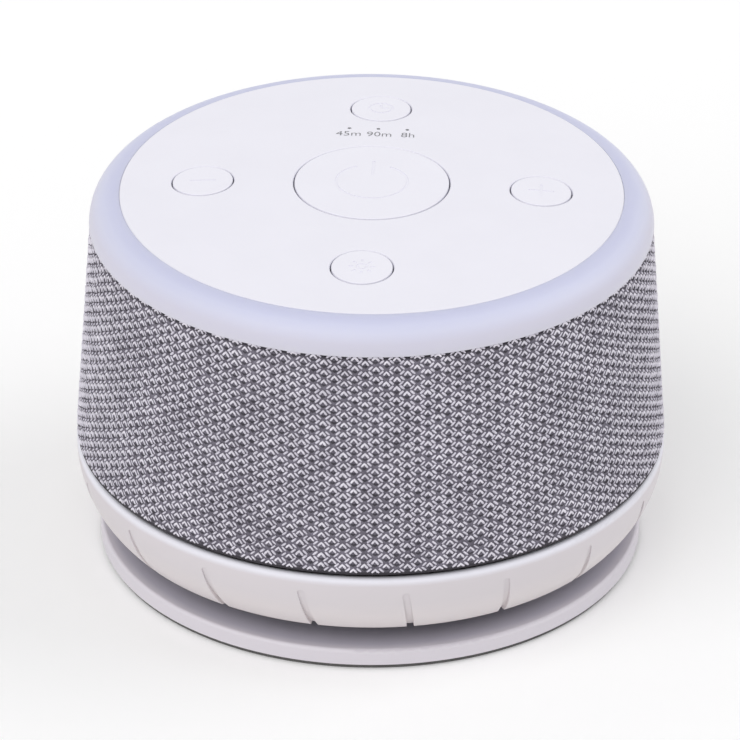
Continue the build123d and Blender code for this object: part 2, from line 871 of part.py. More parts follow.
shutter_top = housing_top - shutter_clearance

with BuildPart() as shutter_ring:
    revolve(
        tube_section(shutter_inner_radius, shutter_outer_radius, web_bottom, shutter_top), axis=Axis.Z
    )
    revolve(
        tube_section(
            shutter_inner_radius,
            shutter_outer_radius + shutter_flange_width,
            web_top,
            web_top + shutter_flange_thickness,
        ),
        axis=Axis.Z,
    )
    # At rest the apertures are half a pitch short of closed, so that they are half open
    for number in range(aperture_count):
        add(
            arc_band(
                shutter_inner_radius - shutter_wall / 2,
                shutter_outer_radius + shutter_wall / 2,
                number * 360 / aperture_count - tone_travel_angle,
                aperture_angle,
                aperture_bottom,
                aperture_height,
            ),
            mode=Mode.SUBTRACT,
        )
finish(shutter_ring.part, "shutter_ring")

# ---------------------------------------------------------------------------------------------------
# Tone ring: the white collar with grip grooves, its web, and the slots for the stops
# ---------------------------------------------------------------------------------------------------

groove_top_height = tone_top_height - groove_top_drop
groove_low_height = tone_bottom_height - 2 * groove_width
groove_straight = groove_top_height - groove_width / 2 - groove_low_height
groove_middle_height = (groove_top_height + tone_bottom_height) / 2
groove_middle_depth = (groove_depth_top + groove_depth_bottom) / 2
web_inner_radius = shutter_outer_radius + pin_clearance
stop_slot_span = 2 * (tone_travel_angle + stop_slot_end)

# One slanted groove-shaped bar that reaches through the wall at the front
with BuildPart() as groove_bar:
    with BuildSketch(Plane.XZ.offset(tone_arc_centre)):
        with Locations((0, groove_low_height + groove_straight / 2)):
            SlotCenterToCenter(groove_straight, groove_width, rotation=90 + groove_slant)
    extrude(amount=2 * tone_arc_radius)

# The bars all round, less everything that lies below the grooves' floor
with BuildPart() as groove_cutters:
    with PolarLocations(0, groove_count, start_angle=groove_start_angle + 90):
        add(groove_bar.part)
    with BuildSketch(Plane.XZ):
        with BuildLine():
            ThreePointArc(
                (tone_outer(groove_top_height, groove_depth_top), groove_top_height),
                (tone_outer(groove_middle_height, groove_middle_depth), groove_middle_height),
                (tone_outer(tone_bottom_height, groove_depth_bottom), tone_bottom_height),
            )
            Polyline(
                (tone_outer(tone_bottom_height, groove_depth_bottom), tone_bottom_height),
                (tone_outer(tone_bottom_height, groove_depth_bottom), groove_low_height - groove_width),
                (0, groove_low_height - groove_width),
                (0, groove_top_height),
                (tone_outer(groove_top_height, groove_depth_top), groove_top_height),
            )
        make_face()
    revolve(axis=Axis.Z, mode=Mode.SUBTRACT)

with BuildPart() as tone_ring:
    with BuildSketch(Plane.XZ):
        with BuildLine():
            ThreePointArc(
                (tone_radius, tone_widest_height),
                (tone_radius - tone_lip_radius, tone_top_height),
                (tone_radius - tone_wall, tone_widest_height),
            )
            RadiusArc(
                (tone_radius - tone_wall, tone_widest_height),
                (tone_outer(tone_bottom_height, tone_wall), tone_bottom_height),
                tone_arc_radius - tone_wall,
            )
            Line(
                (tone_outer(tone_bottom_height, tone_wall), tone_bottom_height),
                (tone_outer(tone_bottom_height), tone_bottom_height),
            )
            RadiusArc(
                (tone_outer(tone_bottom_height), tone_bottom_height),
                (tone_radius, tone_widest_height),
                -tone_arc_radius,
            )
        make_face()
    revolve(axis=Axis.Z)
    fillet(
        tone_ring.edges().filter_by(GeomType.CIRCLE).group_by(Axis.Z)[0].sort_by(SortBy.RADIUS)[-1],
        tone_bottom_edge_radius,
    )
    revolve(
        tube_section(web_inner_radius, tone_outer(web_bottom, tone_wall / 2), web_bottom, web_top),
        axis=Axis.Z,
    )
    add(groove_cutters.part, mode=Mode.SUBTRACT)
    for number in range(stop_count):
        with BuildSketch(Plane.XY.offset(web_bottom)):
            SlotArc(
                CenterArc(
                    (0, 0),
                    stop_circle,
                    stop_start_angle + number * 360 / stop_count - stop_slot_span / 2,
                    stop_slot_span,
                    mode=Mode.PRIVATE,
                ),
                2 * (stop_radius + running_clearance),
            )
        extrude(amount=tone_web_thickness, mode=Mode.SUBTRACT)
finish(tone_ring.part, "tone_ring")

# ---------------------------------------------------------------------------------------------------
# Top frame, grille shell and fabric sleeve
# ---------------------------------------------------------------------------------------------------

grille_inset = sleeve_thickness + sleeve_clearance
grille_inner_inset = grille_inset + grille_wall
deck_radius = sleeve_radius(deck_top, grille_inner_inset) - running_clearance

with BuildPart() as top_frame:
    revolve(tube_section(0, deck_radius, deck_bottom, deck_top), axis=Axis.Z)
    revolve(
        tube_section(deck_radius - deck_rim_width, deck_radius, deck_bottom - deck_rim_height, deck_bottom),
        axis=Axis.Z,
    )
    with BuildSketch(Plane.XY.offset(deck_bottom)):
        with PolarLocations(cover_post_circle, cover_post_count, start_angle=45):
            Circle(free_hole_radius)
        with PolarLocations(plate_boss_circle, plate_boss_count, start_angle=plate_boss_start_angle):
            Circle(free_hole_radius)
        with Locations((-connector_x, connector_y), (connector_x, connector_y)):
            Circle(lead_radius + hole_clearance)
    extrude(amount=deck_thickness, mode=Mode.SUBTRACT)
finish(top_frame.part, "top_frame")

frame_screw = screw(deck_top, deck_bottom - cover_post_screw_depth + cover_screw_end_gap)

with BuildPart() as frame_screws:
    with PolarLocations(cover_post_circle, cover_post_count, start_angle=45):
        add(frame_screw)
finish(frame_screws.part, "frame_screws")

grille_slot_bottom = sleeve_bottom + grille_slot_sill
grille_slot_height = deck_top - grille_slot_top - grille_slot_bottom
grille_middle_radius = sleeve_radius(sleeve_bottom, grille_inset)

with BuildPart() as grille_shell:
    revolve(
        turned(
            (sleeve_radius(sleeve_bottom, grille_inner_inset), sleeve_bottom),
            (sleeve_radius(sleeve_bottom, grille_inset), sleeve_bottom),
            (sleeve_radius(sleeve_top, grille_inset), sleeve_top),
            (sleeve_radius(sleeve_top, grille_inner_inset), sleeve_top),
            (sleeve_radius(flange_top, grille_inner_inset), flange_top),
            (grille_flange_inner, flange_top),
            (grille_flange_inner, deck_top),
            (sleeve_radius(deck_top, grille_inner_inset), deck_top),
        ),
        axis=Axis.Z,
    )
    with BuildSketch(Plane.XY.offset(grille_slot_bottom)):
        with PolarLocations(grille_middle_radius, grille_slot_count, start_angle=180 / grille_slot_count):
            Rectangle(4 * sleeve_flare, grille_slot_width)
    extrude(amount=grille_slot_height, mode=Mode.SUBTRACT)
finish(grille_shell.part, "grille_shell")

with BuildPart() as fabric_sleeve:
    revolve(
        turned(
            (sleeve_radius(sleeve_bottom, sleeve_thickness), sleeve_bottom),
            (sleeve_radius(sleeve_bottom), sleeve_bottom),
            (sleeve_radius(sleeve_top), sleeve_top),
            (sleeve_radius(sleeve_top, sleeve_thickness), sleeve_top),
        ),
        axis=Axis.Z,
    )
finish(fabric_sleeve.part, "fabric_sleeve")

# ---------------------------------------------------------------------------------------------------
# Light ring and the reflector under it
# ---------------------------------------------------------------------------------------------------

skirt_outer_radius = sleeve_radius(sleeve_top, grille_inner_inset) - ring_skirt_clearance
skirt_inner_radius = skirt_outer_radius - ring_skirt_thickness
ring_seam_radius = plate_radius + ring_plate_seam
ring_seam_height = ring_bottom + sqrt(ring_round_radius**2 - (ring_seam_radius - plate_radius) ** 2)

with BuildPart() as light_ring:
    with BuildSketch(Plane.XZ):
        with BuildLine():
            RadiusArc(
                (plate_radius + ring_round_radius, ring_bottom),
                (ring_seam_radius, ring_seam_height),
                -ring_round_radius,
            )
            Polyline(
                (ring_seam_radius, ring_seam_height),
                (ring_seam_radius, ledge_top),
                (ring_ledge_inner, ledge_top),
                (ring_ledge_inner, ledge_bottom),
                (skirt_inner_radius, ledge_bottom),
                (skirt_inner_radius, flange_top),
                (skirt_outer_radius, flange_top),
                (skirt_outer_radius, ring_bottom),
                (plate_radius + ring_round_radius, ring_bottom),
            )
        make_face()
    revolve(axis=Axis.Z)
finish(light_ring.part, "light_ring")

reflector_outer_radius = skirt_inner_radius - running_clearance
reflector_inner_radius = board_radius - reflector_thickness - board_overlap

with BuildPart() as reflector_ring:
    revolve(
        turned(
            (reflector_inner_radius, flange_top),
            (reflector_outer_radius, flange_top),
            (reflector_outer_radius, flange_top + reflector_thickness),
            (reflector_inner_radius + reflector_thickness, flange_top + reflector_thickness),
            (reflector_inner_radius + reflector_thickness, board_bottom),
            (reflector_inner_radius, board_bottom),
        ),
        axis=Axis.Z,
    )
    with BuildSketch(Plane.XY.offset(flange_top)):
        with PolarLocations(plate_boss_circle, plate_boss_count, start_angle=plate_boss_start_angle):
            Circle(plate_boss_radius + running_clearance)
    extrude(amount=board_bottom - flange_top, mode=Mode.SUBTRACT)
finish(reflector_ring.part, "reflector_ring")

# ---------------------------------------------------------------------------------------------------
# Top plate, a shallow dome
# ---------------------------------------------------------------------------------------------------

lip_outer_radius = ring_ledge_inner - seat_clearance
lip_inner_radius = lip_outer_radius - plate_lip_width
plate_boss_top = dome_height(plate_boss_circle - plate_boss_radius, plate_thickness / 2)
board_boss_top = dome_height(board_boss_circle - board_boss_radius, plate_thickness / 2)
board_screw_top = board_top + board_screw_depth
plate_screw_top = deck_top + plate_screw_depth

with BuildPart() as top_plate:
    # The section is turned so that the dome's seam misses the small holes
    with BuildSketch(Plane.XZ.rotated((0, 0, plate_seam_angle))):
        with BuildLine():
            ThreePointArc(
                (0, plate_top_height),
                (plate_radius / 2, dome_height(plate_radius / 2)),
                (plate_radius, plate_edge_height),
            )
            Polyline(
                (plate_radius, plate_edge_height),
                (plate_radius, ledge_top),
                (lip_outer_radius, ledge_top),
                (lip_outer_radius, ledge_top - plate_lip_depth),
                (lip_inner_radius, ledge_top - plate_lip_depth),
                (lip_inner_radius, dome_height(lip_inner_radius, plate_thickness)),
            )
            ThreePointArc(
                (lip_inner_radius, dome_height(lip_inner_radius, plate_thickness)),
                (lip_inner_radius / 2, dome_height(lip_inner_radius / 2, plate_thickness)),
                (0, dome_height(0, plate_thickness)),
            )
            Line((0, dome_height(0, plate_thickness)), (0, plate_top_height))
        make_face()
    revolve(axis=Axis.Z)
    fillet(rim_at(top_plate, plate_edge_height), plate_edge_radius)
    # Holes for the buttons, with rounded edges, and for the indicators
    with BuildSketch(Plane.XY.offset(ledge_bottom)):
        Circle(power_hole_radius)
        with PolarLocations(small_button_circle, len(small_buttons)):
            Circle(small_hole_radius)
    extrude(amount=plate_top_height - ledge_bottom, mode=Mode.SUBTRACT)
    dome_face = top_plate.faces().sort_by(Axis.Z)[-1]
    fillet([edge for wire in dome_face.inner_wires() for edge in wire.edges()], hole_edge_radius)
    fillet(rim_at(top_plate, dome_height(power_hole_radius)), hole_edge_radius)
    with BuildSketch(Plane.XY.offset(ledge_bottom)):
        with Locations((0, indicator_y)):
            with GridLocations(indicator_pitch, 0, indicator_count, 1):
                Circle(indicator_hole_radius)
    extrude(amount=plate_top_height - ledge_bottom, mode=Mode.SUBTRACT)
    # Bosses for the screws from the deck, and for the control board
    with BuildSketch(Plane.XY.offset(deck_top)):
        with PolarLocations(plate_boss_circle, plate_boss_count, start_angle=plate_boss_start_angle):
            Circle(plate_boss_radius)
    extrude(amount=plate_boss_top - deck_top)
    with BuildSketch(Plane.XY.offset(board_top)):
        with PolarLocations(board_boss_circle, plate_boss_count, start_angle=plate_boss_start_angle):
            Circle(board_boss_radius)
    extrude(amount=board_boss_top - board_top)
    with BuildSketch(Plane.XY.offset(deck_top)):
        with PolarLocations(plate_boss_circle, plate_boss_count, start_angle=plate_boss_start_angle):
            Circle(pilot_radius)
    extrude(amount=plate_screw_depth, mode=Mode.SUBTRACT)
    with BuildSketch(Plane.XY.offset(board_top)):
        with PolarLocations(board_boss_circle, plate_boss_count, start_angle=plate_boss_start_angle):
            Circle(pilot_radius)
    extrude(amount=board_screw_depth, mode=Mode.SUBTRACT)
finish(top_plate.part, "top_plate")

plate_screw = screw(deck_bottom, plate_screw_top - cover_screw_end_gap)

with BuildPart() as plate_screws:
    with PolarLocations(plate_boss_circle, plate_boss_count, start_angle=plate_boss_start_angle):
        add(plate_screw)
finish(plate_screws.part, "plate_screws")

board_screw = screw(board_bottom, board_screw_top - cover_screw_end_gap)

with BuildPart() as board_screws:
    with PolarLocations(board_boss_circle, plate_boss_count, start_angle=plate_boss_start_angle):
        add(board_screw)
finish(board_screws.part, "board_screws")

# ---------------------------------------------------------------------------------------------------
# Control board and what it carries
# ---------------------------------------------------------------------------------------------------

with BuildPart() as control_board:
    with BuildSketch(Plane.XY.offset(board_bottom)):
        Circle(board_radius)
        with PolarLocations(board_boss_circle, plate_boss_count, start_angle=plate_boss_start_angle):
            Circle(free_hole_radius, mode=Mode.SUBTRACT)
    extrude(amount=board_thickness)
finish(control_board.part, "control_board")

plunger_depth = plunger_height - plunger_rise

with BuildPart() as switch_bodies:
    with BuildSketch(Plane.XY.offset(board_top)):
        Rectangle(switch_size, switch_size)
        with PolarLocations(small_button_circle, len(small_buttons)):
            Rectangle(switch_size, switch_size)
    extrude(amount=switch_height)
    # Each plunger's bore is as deep as its button travels
    with BuildSketch(Plane.XY.offset(switch_top)):
        Circle(plunger_radius + plunger_bore_clearance)
    extrude(amount=-(plunger_depth + power_travel + switch_bottom_clearance), mode=Mode.SUBTRACT)
    with BuildSketch(Plane.XY.offset(switch_top)):
        with PolarLocations(small_button_circle, len(small_buttons)):
            Circle(plunger_radius + plunger_bore_clearance)
    extrude(amount=-(plunger_depth + small_travel + switch_bottom_clearance), mode=Mode.SUBTRACT)
finish(switch_bodies.part, "switch_bodies")

with BuildPart() as ring_leds:
    with BuildSketch(Plane.XY.offset(board_top)):
        with PolarLocations(board_radius - led_inset, led_count, start_angle=180 / led_count):
            Rectangle(led_width, led_length)
    extrude(amount=led_height)
finish(ring_leds.part, "ring_leds")

with BuildPart() as indicator_leds:
    with BuildSketch(Plane.XY.offset(board_top)):
        with Locations((0, indicator_y)):
            with GridLocations(indicator_pitch, 0, indicator_count, 1):
                Rectangle(indicator_led_size, indicator_led_size)
    extrude(amount=indicator_led_height)
finish(indicator_leds.part, "indicator_leds")

pipe_bar_length = (indicator_count - 1) * indicator_pitch + light_pipe_bar_width
pipe_bar_top = dome_height(indicator_y + light_pipe_bar_width, plate_thickness) - light_pipe_gap
pipe_bottom = board_top + indicator_led_height + light_pipe_gap

with BuildPart() as indicator_light_pipe:
    with BuildSketch(Plane.XY.offset(pipe_bar_top - light_pipe_bar_height)):
        with Locations((0, indicator_y)):
            SlotOverall(pipe_bar_length, light_pipe_bar_width)
    extrude(amount=light_pipe_bar_height)
    with BuildSketch(Plane.XY.offset(pipe_bottom)):
        with Locations((0, indicator_y)):
            with GridLocations(indicator_pitch, 0, indicator_count, 1):
                Circle(light_pipe_leg_radius)
    extrude(amount=pipe_bar_top - pipe_bottom)
    with BuildSketch(Plane.XY.offset(pipe_bottom)):
        with Locations((0, indicator_y)):
            with GridLocations(indicator_pitch, 0, indicator_count, 1):
                Circle(indicator_hole_radius - pin_clearance)
    extrude(amount=plate_top_height - pipe_bottom)
    revolve(dome_section(plate_radius, 0), axis=Axis.Z, mode=Mode.INTERSECT)
finish(indicator_light_pipe.part, "indicator_light_pipe")

with BuildPart() as controller_chip:
    with BuildSketch(Plane.XY.offset(board_bottom - chip_height)):
        with Locations((0, chip_y)):
            Rectangle(chip_size, chip_size)
    extrude(amount=chip_height)
finish(controller_chip.part, "controller_chip")

with BuildPart() as board_connectors:
    with BuildSketch(Plane.XY.offset(board_bottom - connector_height)):
        with Locations((-connector_x, connector_y), (connector_x, connector_y)):
            Rectangle(connector_size_x, connector_size_y)
    extrude(amount=connector_height)
finish(board_connectors.part, "board_connectors")

with BuildPart() as board_capacitor:
    with BuildSketch(Plane.YZ.offset(-capacitor_length / 2)):
        with Locations((capacitor_y, board_bottom - capacitor_radius)):
            Circle(capacitor_radius)
    extrude(amount=capacitor_length)
finish(board_capacitor.part, "board_capacitor")

# ---------------------------------------------------------------------------------------------------
# Buttons: a cap a little proud of the dome, a flange under the plate, and a stem on the switch's plunger
# ---------------------------------------------------------------------------------------------------

power_flange_radius = power_hole_radius + power_flange_width
power_flange_top = dome_height(power_flange_radius, plate_thickness) - running_clearance
small_flange_radius = small_hole_radius + small_flange_width
small_flange_top = (
    dome_height(small_button_circle + small_flange_radius, plate_thickness) - running_clearance
)
cap_blank_height = plate_top_height + cap_blank_excess
icon_plane = Plane.XY.offset(small_flange_top)
icon_height = cap_blank_height - small_flange_top

# Everything under the floor of the icons' engraving, to keep the icon cutters shallow
with BuildPart() as icon_floor:
    revolve(dome_section(plate_radius, icon_depth - cap_rise), axis=Axis.Z)

with BuildPart() as power_icon:
    with BuildSketch(icon_plane):
        with BuildLine():
            CenterArc((0, 0), power_icon_radius, 90 + power_icon_gap, 360 - 2 * power_icon_gap)
        trace(line_width=icon_line)
        with Locations((0, power_icon_bar_start + power_icon_bar_length / 2)):
            Rectangle(icon_line, power_icon_bar_length)
    extrude(amount=icon_height)
    add(icon_floor.part, mode=Mode.SUBTRACT)

with BuildPart() as plus_icon:
    with BuildSketch(icon_plane):
        Rectangle(small_icon_size, icon_line)
        Rectangle(icon_line, small_icon_size)
    extrude(amount=icon_height)

with BuildPart() as minus_icon:
    with BuildSketch(icon_plane):
        Rectangle(small_icon_size, icon_line)
    extrude(amount=icon_height)

# Clock: a circle with two hands
with BuildPart() as timer_icon:
    with BuildSketch(icon_plane):
        Circle(small_icon_size / 2)
        Circle(small_icon_size / 2 - icon_line, mode=Mode.SUBTRACT)
        with Locations((0, clock_hand_length / 2)):
            Rectangle(icon_line, clock_hand_length)
        with Locations((clock_hand_length / 2, 0)):
            Rectangle(clock_hand_length, icon_line)
    extrude(amount=icon_height)

# Lamp: a small disc with rays round it
with BuildPart() as light_icon:
    with BuildSketch(icon_plane):
        Circle(lamp_disc_radius)
        Circle(lamp_disc_radius - icon_line, mode=Mode.SUBTRACT)
        with PolarLocations((lamp_ray_start + small_icon_size / 2) / 2, lamp_ray_count):
            Rectangle(small_icon_size / 2 - lamp_ray_start, icon_line)
    extrude(amount=icon_height)

small_icons = {"plus": plus_icon, "timer": timer_icon, "minus": minus_icon, "light": light_icon}

power_cap_radius = power_hole_radius - button_gap
power_recess_radius = power_cap_radius - button_skin
power_flange_bottom = power_flange_top - button_flange_thickness

with BuildPart() as power_button:
    revolve(tube_section(0, power_cap_radius, power_flange_top, cap_blank_height), axis=Axis.Z)
    revolve(dome_section(power_flange_radius, -cap_rise), axis=Axis.Z, mode=Mode.INTERSECT)
    fillet(rim_at(power_button, dome_height(power_cap_radius, -cap_rise)), button_edge_radius)
    revolve(
        tube_section(0, power_flange_radius, power_flange_bottom, power_flange_top), axis=Axis.Z
    )
    revolve(
        tube_section(
            button_stem_radius,
            power_recess_radius,
            power_flange_bottom,
            dome_height(power_recess_radius, button_skin),
        ),
        axis=Axis.Z,
        mode=Mode.SUBTRACT,
    )
    revolve(tube_section(0, button_stem_radius, plunger_top, power_flange_bottom), axis=Axis.Z)
    add(power_icon.part, mode=Mode.SUBTRACT)
finish(power_button.part, "power_button")

small_cap_radius = small_hole_radius - button_gap
small_recess_radius = small_cap_radius - button_skin
small_flange_bottom = small_flange_top - button_flange_thickness
small_recess_top = dome_height(small_button_circle + small_recess_radius, button_skin)

for button_name, button_angle in small_buttons.items():
    button_x = small_button_circle * cos(radians(button_angle))
    button_y = small_button_circle * sin(radians(button_angle))
    with BuildPart() as small_icon_cutter:
        with Locations((button_x, button_y)):
            add(small_icons[button_name].part)
        add(icon_floor.part, mode=Mode.SUBTRACT)
    with BuildPart() as small_button:
        with BuildSketch(Plane.XY.offset(small_flange_bottom)):
            with Locations((button_x, button_y)):
                Circle(small_cap_radius)
        extrude(amount=cap_blank_height - small_flange_bottom)
        revolve(dome_section(plate_radius, -cap_rise), axis=Axis.Z, mode=Mode.INTERSECT)
        fillet(small_button.faces().sort_by(Axis.Z)[-1].edges(), button_edge_radius)
        with BuildSketch(Plane.XY.offset(small_flange_bottom)):
            with Locations((button_x, button_y)):
                Circle(small_flange_radius)
        extrude(amount=button_flange_thickness)
        with BuildSketch(Plane.XY.offset(small_flange_bottom)):
            with Locations((button_x, button_y)):
                Circle(small_recess_radius)
                Circle(button_stem_radius, mode=Mode.SUBTRACT)
        extrude(amount=small_recess_top - small_flange_bottom, mode=Mode.SUBTRACT)
        with BuildSketch(Plane.XY.offset(plunger_top)):
            with Locations((button_x, button_y)):
                Circle(button_stem_radius)
        extrude(amount=small_flange_bottom - plunger_top)
        add(small_icon_cutter.part, mode=Mode.SUBTRACT)
    finish(small_button.part, f"{button_name}_button")
    with BuildPart() as small_plunger:
        with BuildSketch(Plane.XY.offset(plunger_top - plunger_height)):
            with Locations((button_x, button_y)):
                Circle(plunger_radius)
        extrude(amount=plunger_height)
    finish(small_plunger.part, f"{button_name}_plunger")

with BuildPart() as power_plunger:
    revolve(tube_section(0, plunger_radius, plunger_top - plunger_height, plunger_top), axis=Axis.Z)
finish(power_plunger.part, "power_plunger")

# ---------------------------------------------------------------------------------------------------
# Internal leads, from the inlet and from the motor up to the control board
# ---------------------------------------------------------------------------------------------------

lead_high = cover_top + lead_high_rise
lead_end = board_bottom - connector_height

with BuildPart() as power_lead:
    with BuildLine() as power_route:
        FilletPolyline(
            (0, jack_back, jack_axis_height),
            (0, jack_back - lead_jack_run, jack_axis_height),
            (0, jack_back - lead_jack_run, lead_low_height - lead_rise),
            (lead_x, lead_y, lead_low_height),
            (lead_x, lead_y, lead_high),
            (connector_x, connector_y, lead_high + lead_last_rise),
            (connector_x, connector_y, lead_end),
            radius=[lead_bend_radius] * 5,
        )
    with BuildSketch(Plane((0, jack_back, jack_axis_height), x_dir=(1, 0, 0), z_dir=(0, -1, 0))):
        Circle(lead_radius)
    sweep(path=power_route.wires()[0])
finish(power_lead.part, "power_lead")

can_exit = motor_radius + lead_can_gap
can_exit_x = can_exit * sin(radians(lead_angle))
can_exit_y = can_exit * cos(radians(lead_angle))

with BuildPart() as motor_lead:
    with BuildLine() as motor_route:
        FilletPolyline(
            (-can_exit_x, can_exit_y, lead_low_height),
            (-lead_x, lead_y, lead_low_height),
            (-lead_x, lead_y, lead_high),
            (-connector_x, connector_y, lead_high + lead_last_rise),
            (-connector_x, connector_y, lead_end),
            radius=[lead_bend_radius] * 3,
        )
    with BuildSketch(
        Plane(
            origin=(-can_exit_x, can_exit_y, lead_low_height),
            z_dir=(-can_exit_x, can_exit_y, 0),
        )
    ):
        Circle(lead_radius)
    sweep(path=motor_route.wires()[0])
finish(motor_lead.part, "motor_lead")
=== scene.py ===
import json
import math
import random

import bpy
from mathutils import Matrix, Vector


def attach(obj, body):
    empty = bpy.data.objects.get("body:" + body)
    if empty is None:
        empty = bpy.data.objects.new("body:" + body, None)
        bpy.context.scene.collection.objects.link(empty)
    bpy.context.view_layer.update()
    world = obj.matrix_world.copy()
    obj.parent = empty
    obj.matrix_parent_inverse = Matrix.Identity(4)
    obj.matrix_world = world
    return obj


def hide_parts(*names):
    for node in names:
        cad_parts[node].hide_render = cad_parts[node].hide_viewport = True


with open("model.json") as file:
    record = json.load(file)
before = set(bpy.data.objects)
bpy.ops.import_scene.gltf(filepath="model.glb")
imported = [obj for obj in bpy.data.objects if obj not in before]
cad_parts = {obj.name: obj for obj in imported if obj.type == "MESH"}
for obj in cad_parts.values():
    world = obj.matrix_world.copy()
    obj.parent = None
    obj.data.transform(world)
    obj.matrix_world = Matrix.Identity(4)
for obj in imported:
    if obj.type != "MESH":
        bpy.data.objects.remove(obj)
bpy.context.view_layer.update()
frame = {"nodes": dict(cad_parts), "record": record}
nodes = frame["nodes"]
mm = 0.001

# ------------------------------------------------------------------------------------------------
# Sizes taken over from the source, in millimetres
# ------------------------------------------------------------------------------------------------

sleeve_bottom = 30.7
sleeve_top = 89.25
ring_bottom = 89.45
sleeve_top_radius = 70.55
sleeve_foot_radius = 74.9
plate_radius = 62.9
plate_edge_height = 97.25
plate_rise = 2.7
indicator_pitch = 7.34


def sleeve_radius(height):
    """Radius of the sleeve's tapered outside at a height."""
    share = (ring_bottom - height) / (ring_bottom - sleeve_bottom)
    return sleeve_top_radius + (sleeve_foot_radius - sleeve_top_radius) * share


def dome_height(radius):
    """Height of the domed top plate at a radius."""
    sphere = (plate_radius**2 + plate_rise**2) / (2 * plate_rise)
    return plate_edge_height + plate_rise - sphere + math.sqrt(sphere**2 - radius**2)


# ------------------------------------------------------------------------------------------------
# Materials. Colours are display values from 0 to 255, and lengths are in millimetres.
# ------------------------------------------------------------------------------------------------

plastic_ior = 1.46
resin_ior = 1.5                 # of the light pipe, the lamps and the solder mask
noise_middle = (0.3, 0.7)       # where most of a noise's values lie
flow_size = 14.0                # of a moulding's flow marks, which run along the height
flow_stretch = 0.4
mottle_size = 2.2
mottle_share = 0.15
gloss_size = 5.0                # of a moulding's patches of uneven gloss
pit_to_grain = 2.4              # size of a moulding's pits to its grain
pit_share = 0.5
waver_size = 9.0                # of the waver in a colour that runs with height or reach
waver = 0.4
run_cloudiness = 0.08           # of the second colour in a colour that runs
heather_middle = (0.75, 1.3)    # where most of the sum of a yarn's three noises lies


def linear(*srgb):
    """Linear colour, with alpha, from 0 to 255 display values."""
    out = []
    for value in srgb:
        c = value / 255
        out.append(c / 12.92 if c <= 0.04045 else ((c + 0.055) / 1.055) ** 2.4)
    return (*out, 1.0)


